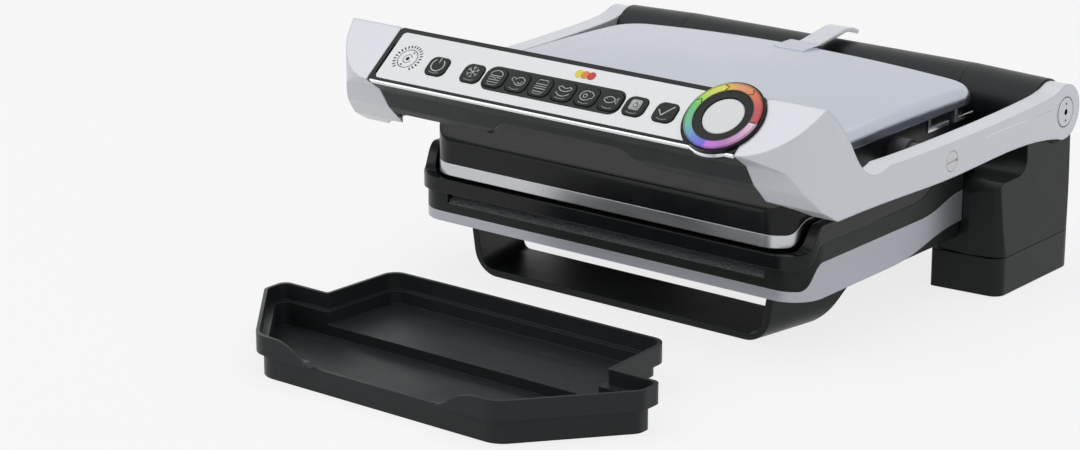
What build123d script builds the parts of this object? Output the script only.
from build123d import *

from math import acos, atan2, cos, degrees, hypot, radians, sin

# Contact grill with a hinged, floating lid and a pull-out drip tray.
# Millimetres. X to the right, Y to the rear, Z up.
# The origin lies on the table, under the middle of the front foot.

# Overall width, and what follows from it
arms_width = 360.0
arm_thickness = 14.0
lid_clearance = 27.0
casing_margin = 11.0
cheek_width = 41.5
arm_outer = arms_width / 2
arm_inner = arm_outer - arm_thickness
lid_half = arm_inner - lid_clearance
casing_half = lid_half + casing_margin
panel_half_length = arm_outer - cheek_width

# Fits, and how far a cut runs past a face
fit = 0.3
seam = 0.5
pin_fit = 0.06
hair = 0.1
over = 1.0
far = 400.0

# Base casing
casing_front = -43.0
casing_rear = 172.0
casing_corner = 21.0
casing_floor = 37.5
housing_wall = 3.0
skirt_wall = 1.2
rim_overhang = 4.0
rim_width = 7.0
rim_inner_step = 3.3
rim_front_extra = 2.0
pocket_rear_wall = 5.0
pocket_corner = 12.0
pocket_floor = 66.0
pocket_floor_wall = 4.0

# Casing lines seen from the side: height in front, at the side and at the rear,
# and where the line climbs to its rear height
sweep_start = -38.0
sweep_end = -22.0
skirt_low = (casing_floor, casing_floor, 48.0, 50.0, 142.0)
skirt_high = (44.0, 60.0, 68.0, 85.0, 142.0)
seam_line = (58.0, 72.0, 80.0, 75.0, 115.0)
rim_line = (67.0, 83.0, 88.0, 75.0, 130.0)
lid_low = (69.0, 77.0, 79.5, 110.0, 150.0)
strip_high = (77.0, 85.0, 87.5, 110.0, 150.0)
line_front = -80.0
line_rear = 260.0

# Front lip
lip_margin = 28.0
lip_low = 50.0
lip_high = 57.0
lip_depth = 6.5
lip_wall = 2.5
lip_half = casing_half - lip_margin

# Bottom cover and its screws
cover_wall = 2.5
screw_head_radius = 3.5
screw_head_height = 1.4
screw_radius = 1.5
screw_length = 12.0
screw_boss_radius = 4.5
screw_boss_height = 15.0
screw_boss_sink = 0.5
screw_side_y = (0.0, 108.0)
screw_front_x = 60.0
vent_length = 30.0
vent_width = 4.0
vent_pitch = 10.0
vent_count = 9
vent_y = 75.0

# Feet
pad_height = 1.0
foot_band = 4.5
foot_front = -25.0
foot_bar_rear = 20.0
foot_rear = 42.0
foot_rear_low = 25.0
foot_flare_low = 11.5
foot_flare_high = 12.0
foot_lean = 5.5
foot_margin = 32.0
foot_high_front = casing_half - foot_margin
foot_low_front = foot_high_front - foot_lean
foot_low_rear = foot_low_front + foot_flare_low
foot_high_rear = foot_high_front + foot_flare_high
foot_outer_radius = 18.0
foot_inner_radius = 10.0
foot_undercut_radius = 12.0
strip_margin = 5.0
strip_end = 27.5
rear_foot_height = 25.7
pad_length = 70.0
pad_width = 28.0
pad_corner = 4.0

# Rear towers
tower_bite = 17.0
tower_step_in = 3.5
tower_inset = 2.5
tower_lean = 4.1
tower_inner = casing_half - tower_bite
tower_inner_rear = tower_inner - tower_step_in
tower_outer = arm_outer - tower_inset
tower_outer_top = tower_outer - tower_lean
tower_front = 136.7
tower_rear = 232.0
tower_step = 74.5
tower_step_rear = 174.0
tower_top = 93.0
tower_corner = 12.0
tower_edge = 2.0
tower_front_corner = 8.0
tower_step_corner = 10.0
tower_shoulder = 5.0
tower_rake = 3.8
tower_relief = 2.0
foot_lead = 2.2

# Hinge
hinge_y = 209.0
hinge_z = 108.0
tube_radius = 21.0
tube_end_radius = 19.3
tube_bore = 17.0
tube_end_bore = 15.0
tube_end_length = 54.7
tube_centre_half = arm_inner - tube_end_length
shaft_radius = 6.0
bushing_length = 15.0
saddle_gap = 0.3

# Arms and handle
arm_end_radius = 18.0
arm_end_angle = 115.0
arm_end_slope = 25.0

# Side view of an arm and its cheek, measured back from the panel's middle,
# and up or down from the panel's middle or the hinge
cheek_back = ((29.3, -2.1), (38.8, 8.4), (46.8, 20.4), (54.8, 29.8))
arm_run = (83.8, 168.8, 258.8)
arm_top = (12.0, 10.5, 12.3)
arm_low_run = (263.8, 155.8, 83.8)
arm_low = (12.8, 12.0, 10.0)
knee_reach = 29.8
knee_drop = 9.3
under_mid_offset = (16.8, 48.4)
under_front_offset = (3.8, 35.4)
under_lip_offset = (4.2, 22.4)
handle_corner = 45.0
handle_inner_corner = 27.0
cap_radius = 9.5
cap_thickness = 2.2
cap_proud = 0.4
cap_edge = 0.8
pivot_y = 71.0
pivot_z = 106.5
pivot_radius = 3.0
pivot_head_radius = 6.2
pivot_head_height = 2.0
pivot_depth = 30.0
slot_depth = 0.8
slot_half_width = 0.7

# Control panel
arm_reach = 292.8
panel_rise = 46.4
panel_y = hinge_y - arm_reach
panel_z = hinge_z + panel_rise
panel_tilt = 37.7
panel_half_height = 21.8
flange_depth = 2.5
tub_depth = 9.0
tub_wall = 1.5
tub_low = -17.5
tub_high = 10.4
tub_corner = 1.5
cavity_corner = 1.0
trim_width = 1.4
trim_depth = 2.2
trim_left = 2.0
trim_right = 0.5
trim_dip_height = 12.0
flange_corner = 3.0
border_left = 4.5
plate_half_height = 18.5
plate_thickness = 1.2
plate_ease = 0.15
ring_margin = 19.7
ring_v = 2.4
ring_surround = 25.6
ring_rise = 1.5
ring_clearance = 1.2
bezel_drop = 0.4
lens_drop = 0.8
lens_edge = 1.0
ring_cup_depth = 6.0
ring_outer = 24.1
ring_inner = 18.5
lens_radius = 13.4
ring_proud = 2.6
rear_wall = 3.0
handle_depth = 17.2
handle_back = panel_y + handle_depth
ring_u = panel_half_length - ring_margin
plate_left = -panel_half_length + border_left
plate_right = ring_u - 14.8
tub_left = -panel_half_length + 1.5
tub_right = ring_u - 27.8

# Buttons
row_left_margin = 33.0
row_right_margin = 31.35
power_gap = 12.5
strip_gap = 2.7
program_gap = 2.2
confirm_gap = 6.5
program_count = 6
button_height = 14.3
button_corner = 5.0
button_proud = 0.9
button_gap = 0.4
button_flange = 0.8
button_flange_depth = 1.2
button_stem = 6.0
button_v = -2.2
button_travel = 0.8
button_edge = 0.7
strip_border = 1.1
strip_border_high = 2.1
strip_corner = 7.0
board_thickness = 1.6
row_left = plate_left + row_left_margin
row_length = ring_u - row_right_margin - row_left
row_gaps = power_gap + 2 * strip_gap + (program_count - 1) * program_gap + confirm_gap
button_width = (row_length - row_gaps) / (program_count + 4)
button_pitch = button_width + program_gap
power_u = row_left + button_width / 2
defrost_u = power_u + button_width + power_gap
program_first = defrost_u + button_width + strip_gap
program_last = program_first + (program_count - 1) * button_pitch
manual_u = program_last + button_width + strip_gap
confirm_u = manual_u + button_width + confirm_gap

# Grip
grip_shell = 3.0
scoop_half = 42.0
scoop_run = 20.0
scoop_depth = 12.0
scoop_drop = (4.0, 6.5)
scoop_lean = 30.7
lobe_inset = 9.5
lobe_overlap = 2.0
lobe_recess = 0.7
lobe_front_v = 17.0
lobe_rear_v = 12.4
lobe_rear_rise = 3.9
bar_foot = (9.8, 40.9)
bar_lip_radius = 6.0
bar_front_radius = 4.0
bar_foot_radius = 3.0
void_margin = 6.0
void_depth = 18.0
void_top = 6.4

# Lid
lid_front = -43.5
lid_rear = 166.0
lid_corner = 20.0
lid_wall = 3.0
lid_top = 118.0
front_edge_z = 92.5
front_edge_radius = 5.0
deck_step = -30.0
deck_step_z = 102.0
deck_top_y = -5.0
deck_bend = 3.0
lid_flange_thickness = 2.5
lid_flange_bite = 0.5
trim_wall = 1.4
cover_overhang = 2.0
lid_cover_half = lid_half + cover_overhang
lid_cover_front = -4.0
lid_cover_rear = 172.0
lid_cover_corner = 22.0
lid_cover_wall = 1.2
lid_cover_edge = 7.5
crown_y = 70.0
crown_z = 135.8
crown_radius = 1700.0
mound_half = 12.0
mound_length = 20.0
mound_top = 134.5
boss_radius = 8.5
boss_length = 12.0
lug_radius = 6.8
clip_thickness = 1.2
clip_low = 109.0
clip_height = 3.0
clip_starts = (108.0, 140.0)
clip_lengths = (25.0, 22.0)

# Cable bridge
bridge_x = 6.0
bridge_width = 16.0
bridge_inner = 27.2
bridge_thickness = 2.4
bridge_end_angle = 60.0
bridge_drop = 2.0

# Rear housing
rear_housing_wall = 3.0
rear_housing_rear = 230.0
rear_housing_roof = 82.0
post_height = 7.0
post_radius = 3.5
power_board_length = 130.0
power_board_depth = 40.0
power_board_margin = 84.5
post_margin_x = 8.0
post_margin_y = 6.0
relay_size = (24.0, 20.0, 16.0)
relay_x = -40.0
transformer_size = (20.0, 15.0, 14.0)
transformer_y = -6.0
capacitor_radius = 6.0
capacitor_height = 12.0
capacitor_x = 38.0
capacitor_y = 4.0
power_board_x = power_board_margin - tower_inner_rear
inlet_margin = 39.5
inlet_x = tower_inner_rear - inlet_margin
inlet_z = 56.0
inlet_radius = 5.0
inlet_flange_radius = 8.0
inlet_bore = 3.2
inlet_length = 8.0
inlet_flange = 3.0

# Cooking plates and heaters
plate_margin = 13.0
plate_half = lid_half - plate_margin
plate_front = -28.0
plate_rear = 152.0
plate_corner = 12.0
plate_low = 62.0
plate_height = 8.0
upper_plate_low = 75.0
groove_depth = 3.0
groove_width = 7.0
groove_pitch = 12.0
plate_border = 6.0
gutter_width = 6.0
gutter_depth = 4.0
spout_half = 10.0
ledge_width = 5.0
heater_radius = 3.2
heater_margin = 22.0
heater_half = plate_half - heater_margin
heater_front = -12.0
heater_rear = 134.0
heater_bend = 18.0
heater_gap = 24.0
shield_margin = 11.0
shield_half = plate_half - shield_margin
shield_front = -19.0
shield_rear = 143.0
shield_corner = 10.0
shield_wall = 1.0
shield_height = 12.0
thermostat_radius = 9.0
thermostat_height = 6.5
thermostat_y = 62.0

# Drip tray
tray_rear = -115.0
tray_notch = -173.0
tray_shoulder = -191.0
tray_front = -256.0
tray_clearance = 7.0
tray_flare = 3.0
tray_ear_margin = 6.0
tray_slant = 54.0
tray_rear_half = foot_low_front - tray_clearance
tray_notch_half = tray_rear_half + tray_flare
tray_ear_half = casing_half - tray_ear_margin
tray_front_half = tray_ear_half - tray_slant
tray_height = 27.0
tray_band = 12.0
tray_inset = 4.0
tray_wall = 2.0
tray_raise = 7.0
tray_lip = 14.0
tray_lip_margin = 12.0
tray_lip_run = 40.0
tray_lip_reach = tray_front_half - tray_lip_margin
tray_lip_half = tray_lip_reach - tray_lip_run
tray_bend = 10.0
tray_notch_corner = 2.0
tray_ear_corner = 6.0
tray_shoulder_corner = 8.0
tray_front_corner = 16.0

# Worked out from the sizes above
pocket_half = casing_half - rim_width
foot_bar_low = pad_height
foot_bar_top = pad_height + foot_band
saddle_radius = tube_radius + saddle_gap
tube_half = arm_inner - seam
panel_normal = (0, -sin(radians(panel_tilt)), cos(radians(panel_tilt)))
panel = Plane(origin=(0, panel_y, panel_z), x_dir=(1, 0, 0), z_dir=panel_normal)


def save(piece, name):
    """Names the finished piece and writes its file."""
    piece.part.label = name
    export_step(piece.part, "parts/" + name + ".step")


def rounded(half, front, rear, radius, height=0.0):
    """Rounded rectangle seen from above, at a height."""
    with BuildSketch(Plane.XY.offset(height)) as shape:
        with Locations((0, (front + rear) / 2)):
            RectangleRounded(2 * half, rear - front, radius)
    return shape.sketch


def outline(plane, corners):
    """Closed outline through corners, each given as two coordinates and its radius."""
    with BuildSketch(plane) as shape:
        with BuildLine():
            points = [corner[:2] for corner in corners]
            FilletPolyline(*points, radius=[corner[2] for corner in corners], close=True)
        make_face()
    return shape.sketch


def draw_line(heights):
    """One casing line from front to rear, seen from the side."""
    front, side, rear, climb, top = heights
    sweep_mid = (sweep_start + sweep_end) / 2
    climb_mid = (climb + top) / 2
    Line((line_front, front), (sweep_start, front))
    Bezier((sweep_start, front), (sweep_mid, front), (sweep_mid, side), (sweep_end, side))
    Line((sweep_end, side), (climb, side))
    Bezier((climb, side), (climb_mid, side), (climb_mid, rear), (top, rear))
    Line((top, rear), (line_rear, rear))


def between(low, high):
    """Side view of the band between two casing lines."""
    with BuildSketch(Plane.YZ) as shape:
        with BuildLine():
            draw_line(low)
            draw_line(high)
            Line((line_front, low[0]), (line_front, high[0]))
            Line((line_rear, low[2]), (line_rear, high[2]))
        make_face()
    return shape.sketch


def level(height):
    """A casing line that stays at one height."""
    return (height, height, height, skirt_low[3], skirt_low[4])


def lifted(line, rise):
    """The same casing line, higher by a rise."""
    return (line[0] + rise, line[1] + rise, line[2] + rise, line[3], line[4])


def casing_plan(inset):
    """Plan of the base casing, drawn in by an inset, with room for the towers."""
    notch_x = tower_inner - seam - inset
    notch_y = tower_front - seam - inset
    notch = 2 * casing_half
    with BuildSketch() as shape:
        with Locations((0, (casing_front + casing_rear) / 2)):
            depth = casing_rear - casing_front - 2 * inset
            RectangleRounded(2 * (casing_half - inset), depth, casing_corner - inset)
        for side in (1, -1):
            with Locations((side * (notch_x + notch / 2), notch_y + notch / 2)):
                Rectangle(notch, notch, mode=Mode.SUBTRACT)
    return shape.sketch


def bezel_plan(inset):
    """Plan of the base rim, which stands out in front of the casing."""
    return rounded(
        casing_half - inset, casing_front - rim_overhang + inset, casing_rear - inset, casing_corner - inset
    )


def casing_band(outer, inner, low, high):
    """Wall between two insets of the casing's plan and between two casing lines."""
    with BuildPart() as band:
        extrude(casing_plan(outer), amount=far)
        extrude(casing_plan(inner), amount=far, mode=Mode.SUBTRACT)
        extrude(between(low, high), amount=far, both=True, mode=Mode.INTERSECT)
    return band.part


def slab(half, low_y, high_y, low_z, high_z, centre_x=0.0):
    """Plain block given by its limits."""
    size_y = high_y - low_y
    size_z = high_z - low_z
    block = Box(2 * half, size_y, size_z, mode=Mode.PRIVATE)
    return Pos(centre_x, (low_y + high_y) / 2, (low_z + high_z) / 2) * block


def across(radius, half, centre_x=0.0, y=hinge_y, z=hinge_z):
    """Cylinder along X about the hinge or another axis."""
    return Pos(centre_x, y, z) * Rot(0, 90, 0) * Cylinder(radius, 2 * half, mode=Mode.PRIVATE)


def on_panel(shape, low, high):
    """Solid over a face of the panel's plane, between two depths along its normal."""
    moved = shape.moved(Location(Vector(*panel_normal) * low))
    return extrude(moved, amount=high - low, dir=Vector(*panel_normal))


def panel_block(left, right, low, high, radius):
    """Rounded rectangle in the panel's plane, given by its limits."""
    with BuildSketch(panel) as shape:
        with Locations(((left + right) / 2, (low + high) / 2)):
            RectangleRounded(right - left, high - low, radius)
    return shape.sketch


def panel_disc(radius):
    """Disc about the indicator, in the panel's plane."""
    with BuildSketch(panel) as shape:
        with Locations((ring_u, ring_v)):
            Circle(radius)
    return shape.sketch


def panel_point(v, w):
    """Side-view point at a place up the panel and a depth along its normal."""
    lean = radians(panel_tilt)
    return (panel_y + v * cos(lean) - w * sin(lean), panel_z + v * sin(lean) + w * cos(lean))


# Base housing
skirt_band = casing_band(0, skirt_wall, skirt_low, skirt_high)
skirt_room = casing_band(-over, skirt_wall + hair, level(0), lifted(skirt_high, hair))
skirt_room = skirt_room - slab(far, tower_front - seam, line_rear, 0, far)
boss_x = casing_half - housing_wall - screw_boss_radius + screw_boss_sink
boss_front_y = casing_front + housing_wall + screw_boss_radius - screw_boss_sink
screw_spots = [(side * boss_x, y) for side in (1, -1) for y in screw_side_y]
screw_spots += [(side * screw_front_x, boss_front_y) for side in (1, -1)]

inner_low = pocket_floor - pocket_floor_wall
notch_wall_x = tower_inner - seam - housing_wall - hair
notch_wall_y = tower_front - seam - housing_wall - hair
notch_room_half = (casing_half - rim_inner_step + 2 * hair - notch_wall_x) / 2
with BuildPart() as base_housing:
    extrude(casing_plan(0), amount=far)
    extrude(between(level(casing_floor), seam_line), amount=far, both=True, mode=Mode.INTERSECT)
    extrude(casing_plan(housing_wall), amount=far, mode=Mode.SUBTRACT)
    add(skirt_room, mode=Mode.SUBTRACT)
    for side in (1, -1):
        notch_mid = side * (notch_wall_x + notch_room_half)
        add(slab(notch_room_half, notch_wall_y, far, inner_low - fit, far, notch_mid), mode=Mode.SUBTRACT)
    with BuildSketch(Plane.XY.offset(casing_floor + cover_wall)):
        with Locations(*screw_spots):
            Circle(screw_boss_radius)
    extrude(amount=screw_boss_height)
    with Locations(*[(x, y, casing_floor + cover_wall + screw_boss_height / 2) for x, y in screw_spots]):
        Cylinder(screw_radius + pin_fit, screw_boss_height, mode=Mode.SUBTRACT)
    add(
        slab(lip_half + fit, line_front, casing_front + lip_depth + lip_wall, lip_low, far),
        mode=Mode.SUBTRACT,
    )
save(base_housing, "base_housing")

with BuildPart() as base_skirt:
    add(skirt_band)
    add(slab(far, tower_front - seam, line_rear, 0, far), mode=Mode.SUBTRACT)
    add(
        slab(casing_half - skirt_wall - hair, tower_front - seam - 2 * skirt_wall, line_rear, 0, far),
        mode=Mode.SUBTRACT,
    )
save(base_skirt, "base_skirt")

# The lip slopes back from the front wall to just under the rim
lip_corners = [
    (casing_front, lip_low, 0),
    (casing_front + lip_depth, lip_high, 0),
    (casing_front + lip_depth + lip_wall - fit, lip_high, 0),
    (casing_front + lip_depth + lip_wall - fit, lip_low, 0),
]
with BuildPart() as front_lip:
    extrude(outline(Plane.YZ, lip_corners), amount=lip_half, both=True)
save(front_lip, "front_lip")

# Bezel: outer band above the seam, inner band with the pocket for the lid, ledge for the plate
with BuildPart() as inner_band_builder:
    step = rim_inner_step
    extrude(
        rounded(casing_half - step, casing_front + step, casing_rear - step, casing_corner - step),
        amount=far,
    )
    extrude(between(level(inner_low), rim_line), amount=far, both=True, mode=Mode.INTERSECT)
inner_band = inner_band_builder.part
opening_half = plate_half + seam
pocket_front = casing_front - rim_overhang + rim_width + rim_front_extra
with BuildPart() as base_bezel:
    extrude(bezel_plan(0), amount=far)
    extrude(between(seam_line, rim_line), amount=far, both=True, mode=Mode.INTERSECT)
    add(inner_band)
    ledge_low = plate_low - lip_wall
    extrude(
        rounded(
            opening_half + lip_wall, plate_front - seam - lip_wall, plate_rear + seam + lip_wall,
            plate_corner, ledge_low,
        ),
        amount=pocket_floor - ledge_low,
    )
    extrude(
        rounded(pocket_half, pocket_front, casing_rear - pocket_rear_wall, pocket_corner, pocket_floor),
        amount=far,
        mode=Mode.SUBTRACT,
    )
    extrude(
        rounded(opening_half, plate_front - seam, plate_rear + seam, plate_corner + seam, plate_low),
        amount=far,
        mode=Mode.SUBTRACT,
    )
    extrude(
        rounded(plate_half - ledge_width, plate_front + ledge_width, plate_rear - ledge_width, plate_corner),
        amount=far,
        mode=Mode.SUBTRACT,
    )
    for side in (1, -1):
        tower_x = side * (tower_inner - seam + far / 2)
        add(
            slab(far / 2, tower_front - seam, far, 0, tower_step + seam, tower_x),
            mode=Mode.SUBTRACT,
        )
        add(
            slab(far / 2, tower_step_rear - tower_corner - tower_relief, far, 0, far, tower_x),
            mode=Mode.SUBTRACT,
        )
save(base_bezel, "base_bezel")

# Bottom cover with vents, and its screws
with BuildPart() as bottom_cover:
    with BuildSketch(Plane.XY.offset(casing_floor)):
        add(casing_plan(housing_wall + fit))
        with Locations(*screw_spots):
            Circle(screw_radius + pin_fit, mode=Mode.SUBTRACT)
        for row in (1, -1):
            with Locations((0, vent_y + row * vent_length * 0.75)):
                with GridLocations(vent_pitch, vent_length, vent_count, 1):
                    SlotCenterToCenter(vent_length - vent_width, vent_width, rotation=90, mode=Mode.SUBTRACT)
    extrude(amount=cover_wall)
save(bottom_cover, "bottom_cover")

with BuildPart() as bottom_screws:
    with Locations(*[(x, y, casing_floor - screw_head_height / 2) for x, y in screw_spots]):
        Cylinder(screw_head_radius, screw_head_height)
    with Locations(*[(x, y, casing_floor + screw_length / 2) for x, y in screw_spots]):
        Cylinder(screw_radius, screw_length)
save(bottom_screws, "bottom_screws")


# Front foot: a flared U frame over the tray's way
def foot_section(y, low_half, high_half, low, radius):
    """Section of the front foot, seen from the front."""
    plane = Plane(origin=(0, y, 0), x_dir=(1, 0, 0), z_dir=(0, -1, 0))
    corners = [
        (-low_half, low, radius),
        (low_half, low, radius),
        (high_half, casing_floor, 0),
        (-high_half, casing_floor, 0),
    ]
    return outline(plane, corners)


def foot_block(grow, low, radius):
    """The front foot's flared block between its front and rear sections."""
    lead = 1 if grow else 0
    slope_low = (foot_low_rear - foot_low_front) / (foot_rear - foot_front)
    slope_high = (foot_high_rear - foot_high_front) / (foot_rear - foot_front)
    front = foot_section(
        foot_front - lead, foot_low_front - grow - lead * slope_low,
        foot_high_front - grow - lead * slope_high, low, radius,
    )
    rear = foot_section(
        foot_rear + lead, foot_low_rear - grow + lead * slope_low,
        foot_high_rear - grow + lead * slope_high, low, radius,
    )
    return loft([front, rear])


foot_outer = foot_block(0, foot_bar_low, foot_outer_radius)
foot_inner = foot_block(foot_band, foot_bar_top, foot_inner_radius)
foot_undercut = [
    (foot_bar_rear, -far, 0),
    (foot_bar_rear, foot_bar_low, foot_undercut_radius),
    (foot_rear, foot_rear_low, 0),
    (far, foot_rear_low, 0),
    (far, -far, 0),
]
with BuildPart() as front_foot:
    add(foot_outer)
    add(foot_inner, mode=Mode.SUBTRACT)
    extrude(outline(Plane.YZ, foot_undercut), amount=far, both=True, mode=Mode.SUBTRACT)
save(front_foot, "front_foot")

with BuildPart() as front_foot_strip:
    strip_rear = foot_bar_rear - strip_margin
    strip_front = foot_front + strip_margin
    extrude(rounded(foot_low_front - strip_end, strip_front, strip_rear, strip_margin), amount=pad_height)
save(front_foot_strip, "front_foot_strip")

# Rear towers on their feet, left and right alike
foot_plan = [
    (tower_inner_rear, tower_front - foot_lead, tower_edge),
    (tower_outer, tower_front + foot_lead, tower_front_corner),
    (tower_outer, tower_rear, tower_corner),
    (tower_inner_rear, tower_rear, tower_edge),
]
tower_plan = [
    (tower_inner, tower_front, 0),
    (casing_half + tower_shoulder, tower_front, 0),
    (tower_outer, tower_front + tower_rake, tower_front_corner),
    (tower_outer, tower_rear, tower_corner),
    (tower_inner_rear, tower_rear, 0),
    (tower_inner_rear, casing_rear + 2 * seam, 0),
    (tower_inner, casing_rear + 2 * seam, 0),
]
tower_low = rear_foot_height + seam
tower_side = [
    (tower_front, tower_low, 0),
    (tower_front, tower_step, tower_step_corner),
    (tower_step_rear, tower_step, tower_corner),
    (tower_step_rear, tower_top, tower_edge),
    (tower_rear, tower_top, tower_corner),
    (tower_rear, tower_low, 0),
]
tower_face = [
    (tower_inner_rear, tower_low, 0),
    (tower_outer, tower_low, 0),
    (tower_outer_top, tower_top, 0),
    (tower_inner_rear, tower_top, 0),
]


def tower():
    """Right rear tower with the saddle for the hinge tube."""
    with BuildPart() as block:
        extrude(outline(Plane.XY, tower_plan), amount=far)
        extrude(outline(Plane.YZ, tower_side), amount=far, both=True, mode=Mode.INTERSECT)
        extrude(outline(Plane.XZ, tower_face), amount=-far, mode=Mode.INTERSECT)
        add(across(saddle_radius, far), mode=Mode.SUBTRACT)
    return block.part


def rear_foot():
    """Right rear foot block."""
    with BuildPart() as block:
        extrude(outline(Plane.XY.offset(pad_height), foot_plan), amount=rear_foot_height - pad_height)
    return block.part


right_tower = tower()
right_foot = rear_foot()
with BuildPart() as rear_tower_right:
    add(right_tower)
save(rear_tower_right, "rear_tower_right")
with BuildPart() as rear_tower_left:
    mirror(right_tower, about=Plane.YZ)
save(rear_tower_left, "rear_tower_left")
with BuildPart() as rear_foot_right:
    add(right_foot)
save(rear_foot_right, "rear_foot_right")
with BuildPart() as rear_foot_left:
    mirror(right_foot, about=Plane.YZ)
save(rear_foot_left, "rear_foot_left")

with BuildPart() as rear_foot_pads:
    pad_x = (tower_inner_rear + tower_outer) / 2
    pad_y = (tower_front + tower_rear) / 2
    with Locations((pad_x, pad_y, pad_height / 2), (-pad_x, pad_y, pad_height / 2)):
        Box(pad_width, pad_length, pad_height)
    fillet(rear_foot_pads.edges().filter_by(Axis.Z), radius=pad_corner)
save(rear_foot_pads, "rear_foot_pads")

# Hinge tube in three sections, with bushings for the shaft
with BuildPart() as hinge_tube_centre:
    add(across(tube_radius, tube_centre_half))
    add(across(tube_bore, tube_centre_half), mode=Mode.SUBTRACT)
save(hinge_tube_centre, "hinge_tube_centre")

tube_half_section = [
    (tube_centre_half + fit, tube_end_bore),
    (tube_centre_half + fit, tube_radius),
    (tube_half, tube_end_radius),
    (tube_half, tube_end_bore),
]


def tube_end(side):
    """Tapered end section of the hinge tube."""
    plane = Plane(origin=(0, hinge_y, hinge_z), x_dir=(side, 0, 0), z_dir=(0, -side, 0))
    with BuildPart() as section:
        with BuildSketch(plane):
            Polygon(*tube_half_section, align=None)
        revolve(axis=Axis((0, hinge_y, hinge_z), (1, 0, 0)))
    return section.part


tube_end_right = tube_end(1)
tube_end_left = tube_end(-1)
with BuildPart() as hinge_tube_right:
    add(tube_end_right)
save(hinge_tube_right, "hinge_tube_right")
with BuildPart() as hinge_tube_left:
    add(tube_end_left)
save(hinge_tube_left, "hinge_tube_left")

with BuildPart() as hinge_bushings:
    for side in (1, -1):
        bush_x = side * (tube_half - bushing_length / 2)
        add(across(tube_end_bore - pin_fit, bushing_length / 2, bush_x))
        add(across(shaft_radius + pin_fit, bushing_length, bush_x), mode=Mode.SUBTRACT)
save(hinge_bushings, "hinge_bushings")

with BuildPart() as hinge_shaft:
    add(across(shaft_radius, arm_outer - cap_thickness - hair))
save(hinge_shaft, "hinge_shaft")

# Rear housing with saddle and posts for the power board
housing_x = tower_inner_rear - seam
bridge_outer = bridge_inner + bridge_thickness
post_low = casing_floor + cover_wall
post_y = (casing_rear + seam + rear_housing_rear) / 2
post_spots = [
    (
        power_board_x + i * (power_board_length / 2 - post_margin_x),
        post_y + j * (power_board_depth / 2 - post_margin_y),
    )
    for i in (1, -1)
    for j in (1, -1)
]
with BuildPart() as rear_housing:
    front_y = casing_rear + seam
    wall = rear_housing_wall
    add(slab(housing_x, front_y, rear_housing_rear, casing_floor, tower_top))
    top_rear = rear_housing.edges().filter_by(Axis.X).sort_by(Axis.Y)[-2:].sort_by(Axis.Z)[-1]
    fillet(top_rear, radius=tower_corner)
    add(across(saddle_radius, far), mode=Mode.SUBTRACT)
    add(
        slab(housing_x - wall, front_y + wall, rear_housing_rear - wall, post_low, rear_housing_roof),
        mode=Mode.SUBTRACT,
    )
    with Locations(*[(x, y, post_low + post_height / 2) for x, y in post_spots]):
        Cylinder(post_radius, post_height)
    with Locations((inlet_x, rear_housing_rear - wall / 2, inlet_z)):
        Cylinder(inlet_radius + pin_fit, 2 * wall, rotation=(90, 0, 0), mode=Mode.SUBTRACT)
save(rear_housing, "rear_housing")

with BuildPart() as cable_inlet:
    outer_y = rear_housing_rear
    with Locations((inlet_x, outer_y + inlet_flange / 2, inlet_z)):
        Cylinder(inlet_flange_radius, inlet_flange, rotation=(90, 0, 0))
    with Locations((inlet_x, outer_y - inlet_length / 2, inlet_z)):
        Cylinder(inlet_radius, inlet_length, rotation=(90, 0, 0))
    with Locations((inlet_x, outer_y, inlet_z)):
        Cylinder(inlet_bore, 4 * inlet_length, rotation=(90, 0, 0), mode=Mode.SUBTRACT)
save(cable_inlet, "cable_inlet")

board_low = post_low + post_height
with BuildPart() as power_board:
    with Locations((power_board_x, post_y, board_low + board_thickness / 2)):
        Box(power_board_length, power_board_depth, board_thickness)
    part_low = board_low + board_thickness
    with Locations((power_board_x + relay_x, post_y, part_low + relay_size[2] / 2)):
        Box(*relay_size)
    with Locations((power_board_x, post_y + transformer_y, part_low + transformer_size[2] / 2)):
        Box(*transformer_size)
    with Locations((power_board_x + capacitor_x, post_y + capacitor_y, part_low + capacitor_height / 2)):
        Cylinder(capacitor_radius, capacitor_height)
save(power_board, "power_board")

# Lower cooking plate, heater, heat shield and thermostat
groove_count = int((2 * plate_half - 2 * plate_border) / groove_pitch)


def cooking_plate(low, ridge_up):
    """Plate with grooves cut from its cooking face."""
    high = low + plate_height
    groove_z = high - groove_depth / 2 if ridge_up else low + groove_depth / 2
    groove_front = plate_front + plate_border + gutter_width
    groove_length = plate_rear - plate_border - groove_front
    with BuildPart() as plate:
        extrude(rounded(plate_half, plate_front, plate_rear, plate_corner, low), amount=plate_height)
        with Locations((0, groove_front + groove_length / 2, groove_z)):
            with GridLocations(groove_pitch, 1, groove_count, 1):
                Box(groove_width, groove_length, groove_depth, mode=Mode.SUBTRACT)
    return plate.part


lower_plate_solid = cooking_plate(plate_low, True)
upper_plate_solid = cooking_plate(upper_plate_low, False)
with BuildPart() as lower_plate:
    add(lower_plate_solid)
    plate_top = plate_low + plate_height
    gutter_front = plate_front + plate_border
    add(
        slab(
            plate_half - plate_border - plate_corner / 2, gutter_front, gutter_front + gutter_width,
            plate_top - gutter_depth, plate_top + over,
        ),
        mode=Mode.SUBTRACT,
    )
    add(
        slab(spout_half, plate_front - over, gutter_front + over, plate_top - gutter_depth, plate_top + over),
        mode=Mode.SUBTRACT,
    )
save(lower_plate, "lower_plate")
with BuildPart() as upper_plate:
    add(upper_plate_solid)
save(upper_plate, "upper_plate")


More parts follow.
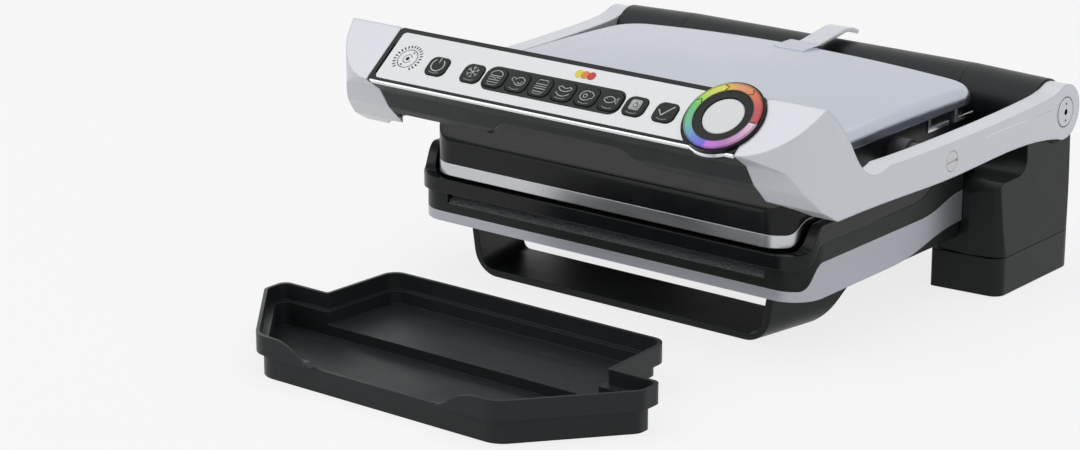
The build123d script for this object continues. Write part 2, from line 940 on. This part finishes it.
def heater(height):
    """Bent tubular heating element at a height."""
    corners = [
        (-heater_gap / 2, heater_rear, height),
        (-heater_half, heater_rear, height),
        (-heater_half, heater_front, height),
        (heater_half, heater_front, height),
        (heater_half, heater_rear, height),
        (heater_gap / 2, heater_rear, height),
    ]
    with BuildPart() as element:
        with BuildLine():
            FilletPolyline(*corners, radius=heater_bend)
        start = Plane(origin=corners[0], z_dir=(-1, 0, 0))
        with BuildSketch(start):
            Circle(heater_radius)
        sweep()
    return element.part


def heat_shield(low, floor_up):
    """Sheet pan that closes the heater in against the plate."""
    with BuildPart() as pan:
        extrude(rounded(shield_half, shield_front, shield_rear, shield_corner, low), amount=shield_height)
        inner_low = low - shield_wall if floor_up else low + shield_wall
        extrude(
            rounded(
                shield_half - shield_wall, shield_front + shield_wall, shield_rear - shield_wall,
                shield_corner - shield_wall, inner_low,
            ),
            amount=shield_height,
            mode=Mode.SUBTRACT,
        )
    return pan.part


upper_plate_top = upper_plate_low + plate_height
lower_heater_solid = heater(plate_low - fit - heater_radius)
upper_heater_solid = heater(upper_plate_top + fit + heater_radius)
lower_shield_solid = heat_shield(plate_low - shield_height, False)
upper_shield_solid = heat_shield(upper_plate_top, True)
with BuildPart() as lower_heater:
    add(lower_heater_solid)
save(lower_heater, "lower_heater")
with BuildPart() as upper_heater:
    add(upper_heater_solid)
save(upper_heater, "upper_heater")
with BuildPart() as lower_heat_shield:
    add(lower_shield_solid)
save(lower_heat_shield, "lower_heat_shield")
with BuildPart() as upper_heat_shield:
    add(upper_shield_solid)
save(upper_heat_shield, "upper_heat_shield")
with BuildPart() as lower_thermostat:
    with Locations((0, thermostat_y, plate_low - thermostat_height / 2)):
        Cylinder(thermostat_radius, thermostat_height)
save(lower_thermostat, "lower_thermostat")
with BuildPart() as upper_thermostat:
    with Locations((0, thermostat_y, upper_plate_top + thermostat_height / 2)):
        Cylinder(thermostat_radius, thermostat_height)
save(upper_thermostat, "upper_thermostat")

# Lid housing: sloped front deck, level top, recess for the chrome strip


def lid_side(drop, low):
    """Side view of the lid's body, its top lowered by a drop."""
    front = lid_front + drop
    corners = [
        (front, low, 0),
        (front, front_edge_z - drop / 2, front_edge_radius),
        (deck_step + drop / 2, deck_step_z - drop / 2, deck_bend),
        (deck_top_y + drop / 2, lid_top - drop, deck_bend),
        (far, lid_top - drop, 0),
        (far, low, 0),
    ]
    return outline(Plane.YZ, corners)


def lid_plan(inset, height=0.0):
    """Plan of the lid's body, drawn in by an inset."""
    return rounded(lid_half - inset, lid_front + inset, lid_rear - inset, lid_corner - inset, height)


def lid_band(outer, inner, low, high):
    """Wall between two insets of the lid's plan and between two casing lines."""
    with BuildPart() as band:
        extrude(lid_plan(outer), amount=far)
        extrude(lid_plan(inner), amount=far, mode=Mode.SUBTRACT)
        extrude(between(low, high), amount=far, both=True, mode=Mode.INTERSECT)
    return band.part


with BuildPart() as lid_room_builder:
    extrude(lid_plan(lid_wall), amount=far)
    extrude(lid_side(lid_wall, 0), amount=far, both=True, mode=Mode.INTERSECT)
lid_room = lid_room_builder.part
strip_room = lid_band(-over, trim_wall + hair, level(0), lifted(strip_high, hair))
flange_low = lid_low[2]
with BuildPart() as lid_flange_builder:
    extrude(lid_plan(lid_wall - lid_flange_bite, flange_low), amount=lid_flange_thickness)
    extrude(
        rounded(
            plate_half + seam, plate_front - seam, plate_rear + seam, plate_corner + seam, flange_low - over
        ),
        amount=lid_flange_thickness + 2 * over,
        mode=Mode.SUBTRACT,
    )
lid_flange = lid_flange_builder.part

with BuildPart() as lid_housing:
    extrude(lid_plan(0), amount=far)
    extrude(lid_side(0, 0), amount=far, both=True, mode=Mode.INTERSECT)
    extrude(between(lid_low, level(far)), amount=far, both=True, mode=Mode.INTERSECT)
    add(lid_room, mode=Mode.SUBTRACT)
    add(strip_room, mode=Mode.SUBTRACT)
    add(lid_flange)
save(lid_housing, "lid_housing")

with BuildPart() as lid_trim:
    add(lid_band(0, trim_wall, lid_low, strip_high))
save(lid_trim, "lid_trim")


def crowned(inset, low):
    """Crowned block of the lid's cover, drawn in by an inset."""
    plan = rounded(
        lid_cover_half - inset, lid_cover_front + inset, lid_cover_rear - inset, lid_cover_corner - inset, low
    )
    with BuildPart() as block:
        extrude(plan, amount=far)
        with Locations((0, crown_y, crown_z - inset - crown_radius)):
            Sphere(crown_radius, rotation=(90, 0, 0), mode=Mode.INTERSECT)
        fillet(block.faces().sort_by(Axis.Z)[-1].edges(), radius=lid_cover_edge - inset)
    return block.part


def mound(inset, low):
    """Raised block in the rear edge of the cover, where the cable bridge ends."""
    front = lid_cover_rear - mound_length + inset
    block = slab(mound_half - inset, front, lid_cover_rear - inset, low, mound_top - inset, bridge_x)
    return block


cover_outer = crowned(0, lid_top)
cover_inner = crowned(lid_cover_wall, lid_top - over)
with BuildPart() as lid_cover:
    add(cover_outer)
    add(mound(0, lid_top))
    add(cover_inner, mode=Mode.SUBTRACT)
    add(mound(lid_cover_wall, lid_top - over), mode=Mode.SUBTRACT)
save(lid_cover, "lid_cover")

with BuildPart() as cover_clips:
    for side in (1, -1):
        clip_x = side * (lid_half + clip_thickness / 2)
        for start, length in zip(clip_starts, clip_lengths):
            add(slab(clip_thickness / 2, start, start + length, clip_low, clip_low + clip_height, clip_x))
            add(slab(clip_thickness / 2, start, start + clip_height, clip_low, lid_top, clip_x))
save(cover_clips, "cover_clips")

with BuildPart() as pivot_bosses:
    for side in (1, -1):
        boss_mid = side * (lid_half + boss_length / 2)
        lug_half = (arm_inner - seam - lid_half) / 2
        lug_mid = side * (lid_half + lug_half)
        add(across(boss_radius, boss_length / 2, boss_mid, pivot_y, pivot_z))
        add(across(lug_radius, lug_half, lug_mid, pivot_y, pivot_z))
        add(across(pivot_radius + pin_fit, 2 * lug_half, lug_mid, pivot_y, pivot_z), mode=Mode.SUBTRACT)
save(pivot_bosses, "pivot_bosses")

# Cable bridge: an arc about the hinge, with a straight run to the lid's rear edge
bridge_radius = bridge_inner + bridge_thickness / 2
bridge_lid_z = mound_top - bridge_drop - bridge_thickness / 2
reach_y = lid_cover_rear - hinge_y
reach_z = bridge_lid_z - hinge_z
reach = hypot(reach_y, reach_z)
tangent_angle = degrees(atan2(reach_z, reach_y) - acos(bridge_radius / reach))


def bridge_point(radius, angle):
    """Side-view point about the hinge."""
    return (hinge_y + radius * cos(radians(angle)), hinge_z + radius * sin(radians(angle)))


with BuildPart() as cable_bridge:
    with BuildSketch(Plane.YZ.offset(bridge_x)):
        with BuildLine():
            top_y = lid_cover_rear - bridge_thickness
            lean = (reach_z - bridge_radius * sin(radians(tangent_angle))) / (
                reach_y - bridge_radius * cos(radians(tangent_angle))
            )
            inner_start = bridge_point(bridge_inner, tangent_angle)
            outer_start = bridge_point(bridge_outer, tangent_angle)
            inner_end = (top_y, inner_start[1] + lean * (top_y - inner_start[0]))
            outer_end = (top_y, outer_start[1] + lean * (top_y - outer_start[0]))
            swing = bridge_end_angle - tangent_angle
            CenterArc((hinge_y, hinge_z), bridge_inner, tangent_angle, swing)
            CenterArc((hinge_y, hinge_z), bridge_outer, tangent_angle, swing)
            Line(bridge_point(bridge_inner, bridge_end_angle), bridge_point(bridge_outer, bridge_end_angle))
            Line(inner_start, inner_end)
            Line(outer_start, outer_end)
            Line(inner_end, outer_end)
        make_face()
    extrude(amount=bridge_width / 2, both=True)
    split(bisect_by=Plane(origin=(0, lid_cover_rear, 0), z_dir=(0, 1, 0)), keep=Keep.TOP)
save(cable_bridge, "cable_bridge")

# Handle frame: side profile of arms and cheeks within a rounded plan
panel_low_edge = panel_point(-panel_half_height, 0)
panel_high_edge = (handle_back, panel_point((handle_back - panel_y) / cos(radians(panel_tilt)), 0)[1])
under_knee = (panel_y + knee_reach, hinge_z - knee_drop)
under_mid = (panel_y + under_mid_offset[0], panel_z - under_mid_offset[1])
under_front = (panel_y + under_front_offset[0], panel_z - under_front_offset[1])
under_lip = (panel_y - under_lip_offset[0], panel_z - under_lip_offset[1])


def arm_profile():
    """Side view of one arm with its cheek."""
    with BuildSketch(Plane.YZ) as shape:
        with BuildLine():
            top_join = bridge_point(arm_end_radius, arm_end_angle)
            low_join = bridge_point(arm_end_radius, -arm_end_angle)
            arm_start = (panel_y + arm_run[0], hinge_z + arm_top[0])
            cheek_points = [(panel_y + y, panel_z - z) for y, z in cheek_back]
            Spline(panel_high_edge, *cheek_points, arm_start)
            Spline(
                arm_start,
                (panel_y + arm_run[1], hinge_z + arm_top[1]),
                (panel_y + arm_run[2], hinge_z + arm_top[2]),
                top_join,
                tangents=((1, -0.05), (cos(radians(arm_end_slope)), sin(radians(arm_end_slope)))),
            )
            CenterArc((hinge_y, hinge_z), arm_end_radius, arm_end_angle, -2 * arm_end_angle)
            low_points = [(panel_y + y, hinge_z - z) for y, z in zip(arm_low_run, arm_low)]
            Spline(low_join, *low_points, under_knee)
            Polyline(under_knee, under_mid, under_front, under_lip, panel_low_edge, panel_high_edge)
        make_face()
    return shape.sketch


def handle_plan(inset):
    """Plan of the handle's outer edge, drawn in by an inset."""
    front = panel_low_edge[0] + inset
    return rounded(arm_outer - inset, front, far, handle_corner - inset)


lobe_top = -tub_depth - over
lobe_front = panel_point(-lobe_front_v, lobe_top)
lobe_rear = panel_point(lobe_rear_v, lobe_top)
lobe_section = [
    (handle_back - rear_wall - fit, under_mid[1] + lobe_rear_rise, 0),
    (under_front[0] + lobe_recess, under_front[1] + lobe_recess, 0),
    (under_lip[0] + lobe_recess, under_lip[1] + lobe_recess, 0),
    (lobe_front[0], lobe_front[1], 0),
    (handle_back - rear_wall - fit, lobe_rear[1], 0),
]


def lobes(grow):
    """Lower shell's ends, which fill the hollow cheeks."""
    with BuildPart() as solids:
        extrude(handle_plan(lobe_inset - grow), amount=far)
        extrude(outline(Plane.YZ, lobe_section), amount=far, both=True, mode=Mode.INTERSECT)
        add(slab(panel_half_length - lobe_overlap, -far, far, 0, far), mode=Mode.SUBTRACT)
    return solids.part


def bar_room(grow):
    """Space of the front bar between the cheeks, in front of the silver rear wall."""
    half = panel_half_length + grow
    return slab(half, -far, handle_back - rear_wall, 0, far)


bar_low = panel_z - bar_foot[1]
bar_side = [
    (panel_low_edge[0], panel_low_edge[1], 0),
    (under_lip[0], under_lip[1], bar_lip_radius),
    (under_front[0], under_front[1], bar_front_radius),
    (panel_y + bar_foot[0], bar_low, bar_foot_radius),
    (handle_back, bar_low, 0),
    (panel_high_edge[0], panel_high_edge[1], 0),
]
scoop_origin = (0, under_front[0] - scoop_drop[0], under_front[1] + scoop_drop[1])
scoop_normal = (0, -cos(radians(scoop_lean)), -sin(radians(scoop_lean)))
scoop_plane = Plane(origin=scoop_origin, x_dir=(1, 0, 0), z_dir=scoop_normal)


def scoop():
    """Finger scoop under the middle of the bar, with smooth ends."""
    with BuildPart() as cut:
        with BuildSketch(scoop_plane):
            with BuildLine():
                reach_x = scoop_half + scoop_run
                Line((-scoop_half, 0), (scoop_half, 0))
                for side in (1, -1):
                    middle = side * (scoop_half + scoop_run / 2)
                    Bezier(
                        (side * scoop_half, 0), (middle, 0),
                        (middle, -scoop_depth), (side * reach_x, -scoop_depth),
                    )
                    Line((side * reach_x, -scoop_depth), (side * reach_x, -scoop_depth - far))
                Line((-reach_x, -scoop_depth - far), (reach_x, -scoop_depth - far))
            make_face()
        extrude(amount=40, both=True)
    return cut.part


frame_low = -panel_half_height + trim_width + hair
flange_rect = panel_block(
    -panel_half_length, panel_half_length, frame_low, panel_half_height, flange_corner
)
flange_room_rect = panel_block(
    -panel_half_length - fit, panel_half_length + fit, -far, panel_half_height + far, over
)
flange_room = on_panel(flange_room_rect, -flange_depth - fit, far)
cup_room = on_panel(panel_disc(ring_surround + fit), -ring_cup_depth - fit, far)
handle_lobe_room = lobes(fit)
scoop_cut = scoop()
with BuildPart() as handle_frame:
    extrude(arm_profile(), amount=arm_outer, both=True)
    extrude(handle_plan(0), amount=far, mode=Mode.INTERSECT)
    extrude(
        rounded(arm_inner, handle_back, 2 * far, handle_inner_corner), amount=far, mode=Mode.SUBTRACT
    )
    add(bar_room(fit), mode=Mode.SUBTRACT)
    add(flange_room, mode=Mode.SUBTRACT)
    add(cup_room, mode=Mode.SUBTRACT)
    add(slab(panel_half_length + fit, -far, 0, 0, bar_low + bar_front_radius / 2), mode=Mode.SUBTRACT)
    add(scoop_cut, mode=Mode.SUBTRACT)
    add(handle_lobe_room, mode=Mode.SUBTRACT)
    for side in (1, -1):
        cap_mid = side * (arm_outer - cap_thickness / 2)
        add(across(cap_radius + hair, cap_thickness / 2, cap_mid), mode=Mode.SUBTRACT)
        head_mid = side * (arm_outer - pivot_head_height / 2)
        head_room = across(pivot_head_radius + fit, pivot_head_height / 2, head_mid, pivot_y, pivot_z)
        add(head_room, mode=Mode.SUBTRACT)
    add(across(shaft_radius + pin_fit, far), mode=Mode.SUBTRACT)
    add(across(pivot_radius + pin_fit, far, 0, pivot_y, pivot_z), mode=Mode.SUBTRACT)
save(handle_frame, "handle_frame")

# Panel frame: flange, tub for the board and round cup for the indicator
cup_disc = on_panel(panel_disc(ring_surround), -ring_cup_depth, ring_rise)
tub_rect = panel_block(tub_left, tub_right, tub_low, tub_high, tub_corner)
tub_solid = on_panel(tub_rect, -tub_depth, -flange_depth)
cavity_rect = panel_block(
    tub_left + tub_wall, tub_right - tub_wall, tub_low + tub_wall, tub_high - tub_wall, cavity_corner
)
cavity = on_panel(cavity_rect, -tub_depth + tub_wall, over)
face_outline = panel_block(plate_left, plate_right, -plate_half_height, plate_half_height, flange_corner)
face_solid = on_panel(face_outline, -plate_thickness, 0)
face_room_rect = panel_block(
    plate_left - plate_ease, plate_right, -plate_half_height - plate_ease,
    plate_half_height + plate_ease, flange_corner,
)
face_room = on_panel(face_room_rect, -plate_thickness, over)
flange_solid = on_panel(flange_rect, -flange_depth, 0)
cup_hole = on_panel(panel_disc(ring_outer + hair), -plate_thickness, far)
with BuildPart() as panel_frame:
    add(flange_solid)
    add(slab(far, -far, handle_back, 0, far), mode=Mode.INTERSECT)
    add(tub_solid)
    add(face_room, mode=Mode.SUBTRACT)
    add(cavity, mode=Mode.SUBTRACT)
    add(cup_disc)
    add(cup_hole, mode=Mode.SUBTRACT)
save(panel_frame, "panel_frame")

# Buttons along the panel
button_us = {
    "button_power": power_u,
    "button_defrost": defrost_u,
    "button_manual": manual_u,
    "button_confirm": confirm_u,
}
for number in range(program_count):
    button_us["button_program_" + str(number + 1)] = program_first + number * button_pitch


def button_hole(u, low, high, grow):
    """Rounded square about a button's place, between two depths."""
    shape = panel_block(
        u - button_width / 2 - grow, u + button_width / 2 + grow,
        button_v - button_height / 2 - grow, button_v + button_height / 2 + grow, button_corner,
    )
    return on_panel(shape, low, high)


def button(u):
    """Button cap with its retaining flange and stem."""
    cap_low = -plate_thickness - fit
    flange_bottom = cap_low - button_flange_depth
    stem_low = board_top + button_travel + fit
    cap = button_hole(u, cap_low, button_proud, 0)
    flange = button_hole(u, flange_bottom, cap_low, button_flange)
    stem_half = button_stem / 2
    stem_sides = (u - stem_half, u + stem_half, button_v - stem_half, button_v + stem_half)
    stem_shape = panel_block(*stem_sides, cavity_corner)
    stem = on_panel(stem_shape, stem_low, flange_bottom)
    with BuildPart() as solid:
        add(cap)
        fillet(solid.edges().group_by(Axis((0, 0, 0), panel_normal))[-1], radius=button_edge)
        add(flange)
        add(stem)
    return solid.part


board_low_w = -tub_depth + tub_wall + fit
board_top = board_low_w + board_thickness
for name, place in button_us.items():
    button_solid = button(place)
    with BuildPart() as button_part:
        add(button_solid)
    save(button_part, name)

strip_left = program_first - button_width / 2 - strip_border
strip_right = program_last + button_width / 2 + strip_border
strip_half = button_height / 2 + strip_border_high
strip_rect = panel_block(
    strip_left, strip_right, button_v - strip_half, button_v + strip_half, strip_corner
)
strip_solid = on_panel(strip_rect, -plate_thickness, hair)
strip_room_rect = panel_block(
    strip_left - hair, strip_right + hair, button_v - strip_half - hair, button_v + strip_half + hair,
    strip_corner + hair,
)
strip_hole = on_panel(strip_room_rect, -2 * plate_thickness, over)
ring_clear = on_panel(panel_disc(ring_surround + ring_clearance), -2 * plate_thickness, over)
all_holes = [button_hole(place, -2 * plate_thickness, over, button_gap) for place in button_us.values()]
with BuildPart() as face_plate:
    add(face_solid)
    add(ring_clear, mode=Mode.SUBTRACT)
    add(strip_hole, mode=Mode.SUBTRACT)
    for hole in all_holes:
        add(hole, mode=Mode.SUBTRACT)
save(face_plate, "face_plate")
with BuildPart() as program_strip:
    add(strip_solid)
    for hole in all_holes:
        add(hole, mode=Mode.SUBTRACT)
save(program_strip, "program_strip")

board_rect = panel_block(
    tub_left + tub_wall + fit, tub_right - tub_wall - fit, tub_low + tub_wall + fit,
    tub_high - tub_wall - fit, cavity_corner,
)
board_solid = on_panel(board_rect, board_low_w, board_top)
with BuildPart() as control_board:
    add(board_solid)
save(control_board, "control_board")

# Indicator: coloured ring, dark inner bezel, white lens
ring_disc = on_panel(panel_disc(ring_outer), -plate_thickness, ring_proud)
ring_bore = on_panel(panel_disc(ring_inner), -far, far)
bezel_disc = on_panel(panel_disc(ring_inner - hair), -plate_thickness, ring_proud - bezel_drop)
bezel_bore = on_panel(panel_disc(lens_radius), -far, far)
lens_disc = on_panel(panel_disc(lens_radius - hair), -plate_thickness, ring_proud - lens_drop)
with BuildPart() as indicator_ring:
    add(ring_disc)
    add(ring_bore, mode=Mode.SUBTRACT)
save(indicator_ring, "indicator_ring")
with BuildPart() as indicator_bezel:
    add(bezel_disc)
    add(bezel_bore, mode=Mode.SUBTRACT)
save(indicator_bezel, "indicator_bezel")
with BuildPart() as indicator_lens:
    add(lens_disc)
    fillet(indicator_lens.edges().group_by(Axis((0, 0, 0), panel_normal))[-1], radius=lens_edge)
save(indicator_lens, "indicator_lens")

# Chrome trim along the lower edge, dipping round the indicator
trim_rect = panel_block(
    -panel_half_length + trim_left, panel_half_length - trim_right, -panel_half_height, 0, over
)
trim_room = panel_block(-far, far, -panel_half_height + trim_width, far, over)
trim_outer = on_panel(trim_rect, -flange_depth, -flange_depth + trim_depth)
trim_dip_disc = panel_disc(ring_surround + hair + trim_width)
trim_dip = on_panel(trim_dip_disc, -flange_depth, -flange_depth + trim_depth)
trim_void = on_panel(panel_disc(ring_surround + hair), -far, far)
trim_above = on_panel(trim_room, -far, far)
trim_side = on_panel(panel_block(panel_half_length - trim_right, far, -far, far, over), -far, far)
trim_upper = on_panel(panel_block(-far, far, ring_v - trim_dip_height, far, over), -far, far)
with BuildPart() as trim_dip_builder:
    add(trim_dip)
    add(trim_upper, mode=Mode.SUBTRACT)
    add(trim_side, mode=Mode.SUBTRACT)
    add(trim_void, mode=Mode.SUBTRACT)
trim_dip_solid = trim_dip_builder.part
flange_grown = on_panel(
    panel_block(-panel_half_length, panel_half_length, frame_low - hair, panel_half_height, over),
    -far, far,
)
with BuildPart() as panel_trim:
    add(trim_outer)
    add(trim_above, mode=Mode.SUBTRACT)
    add(trim_dip_solid)
    add(flange_grown, mode=Mode.SUBTRACT)
    add(trim_void, mode=Mode.SUBTRACT)
save(panel_trim, "panel_trim")

# Grip: lower shell of the bar, hollow inside, with lobes in the cheeks
grip_room = on_panel(panel_block(-far, far, -far, far, over), -flange_depth - fit, far)
tub_room = on_panel(
    panel_block(tub_left - fit, tub_right + fit, tub_low - fit, far, over), -tub_depth - fit, over
)
grip_lobes = lobes(0)
grip_void = on_panel(
    panel_block(-panel_half_length + void_margin, tub_right, tub_low + grip_shell, void_top, tub_corner),
    -void_depth, 0,
)
with BuildPart() as handle_grip:
    extrude(outline(Plane.YZ, bar_side), amount=panel_half_length, both=True)
    add(bar_room(0), mode=Mode.INTERSECT)
    add(slab(far, handle_back - rear_wall - fit, far, 0, far), mode=Mode.SUBTRACT)
    add(scoop_cut, mode=Mode.SUBTRACT)
    add(grip_lobes)
    add(grip_room, mode=Mode.SUBTRACT)
    add(cup_room, mode=Mode.SUBTRACT)
    add(tub_room, mode=Mode.SUBTRACT)
    add(grip_void, mode=Mode.SUBTRACT)
save(handle_grip, "handle_grip")

# Caps over the hinge and screws in the lid's pivots
cap_half = (cap_thickness + cap_proud) / 2
with BuildPart() as hinge_cap_right:
    add(across(cap_radius, cap_half, arm_outer + cap_proud - cap_half))
    fillet(hinge_cap_right.edges().group_by(Axis.X)[-1], radius=cap_edge)
save(hinge_cap_right, "hinge_cap_right")
with BuildPart() as hinge_cap_left:
    add(across(cap_radius, cap_half, -arm_outer - cap_proud + cap_half))
    fillet(hinge_cap_left.edges().group_by(Axis.X)[0], radius=cap_edge)
save(hinge_cap_left, "hinge_cap_left")

with BuildPart() as pivot_screws:
    for side in (1, -1):
        head_mid = side * (arm_outer - pivot_head_height / 2)
        add(across(pivot_head_radius, pivot_head_height / 2, head_mid, pivot_y, pivot_z))
        shank_mid = side * (arm_outer - pivot_head_height - pivot_depth / 2)
        add(across(pivot_radius, pivot_depth / 2, shank_mid, pivot_y, pivot_z))
        slot = slab(
            slot_depth, pivot_y - far, pivot_y + far,
            pivot_z - slot_half_width, pivot_z + slot_half_width, side * arm_outer,
        )
        add(slot, mode=Mode.SUBTRACT)
save(pivot_screws, "pivot_screws")

# Drip tray: narrow rear that slides over the front foot, wide front with ears
def tray_plan(inset, height, rear_only=False, front_only=False):
    """Plan of the tray, drawn in by an inset, whole or one of its two parts."""
    corners = [
        (tray_rear_half - inset, tray_rear - inset, tray_bend - inset / 2),
        (tray_notch_half - inset, tray_notch - inset, tray_notch_corner),
        (tray_ear_half - inset, tray_notch - inset, tray_ear_corner),
        (tray_ear_half - inset, tray_shoulder + inset / 2, tray_shoulder_corner),
        (tray_front_half - inset / 2, tray_front + inset, tray_front_corner),
    ]
    mirrored = [(-x, y, r) for x, y, r in reversed(corners)]
    with BuildSketch(Plane.XY.offset(height)) as shape:
        add(outline(Plane.XY, corners + mirrored))
        if rear_only:
            with Locations((0, tray_notch - inset - far / 2)):
                Rectangle(2 * far, far, mode=Mode.SUBTRACT)
        if front_only:
            with Locations((0, tray_notch - inset + far / 2)):
                Rectangle(2 * far, far, mode=Mode.SUBTRACT)
    return shape.sketch


band_low = tray_height - tray_band
inner_inset = tray_inset + tray_wall
with BuildPart() as drip_tray:
    extrude(tray_plan(0, band_low), amount=tray_band)
    extrude(tray_plan(tray_inset, 0, front_only=True), amount=band_low)
    extrude(tray_plan(tray_inset, tray_raise, rear_only=True), amount=band_low - tray_raise)
    extrude(tray_plan(tray_wall, band_low + tray_wall), amount=far, mode=Mode.SUBTRACT)
    extrude(tray_plan(inner_inset, tray_wall, front_only=True), amount=far, mode=Mode.SUBTRACT)
    extrude(tray_plan(inner_inset, tray_raise + tray_wall), amount=far, mode=Mode.SUBTRACT)
    with BuildSketch(Plane(origin=(0, tray_front - over, 0), x_dir=(1, 0, 0), z_dir=(0, -1, 0))):
        with BuildLine():
            lip_mid = (tray_lip_half + tray_lip_reach) / 2
            Line((-tray_lip_half, tray_lip), (tray_lip_half, tray_lip))
            for side in (1, -1):
                Bezier(
                    (side * tray_lip_half, tray_lip), (side * lip_mid, tray_lip),
                    (side * lip_mid, tray_height), (side * tray_lip_reach, tray_height),
                )
                Line((side * tray_lip_reach, tray_height), (side * tray_lip_reach, far))
            Line((-tray_lip_reach, far), (tray_lip_reach, far))
        make_face()
    extrude(amount=-(over + 3 * inner_inset), mode=Mode.SUBTRACT)
save(drip_tray, "drip_tray")
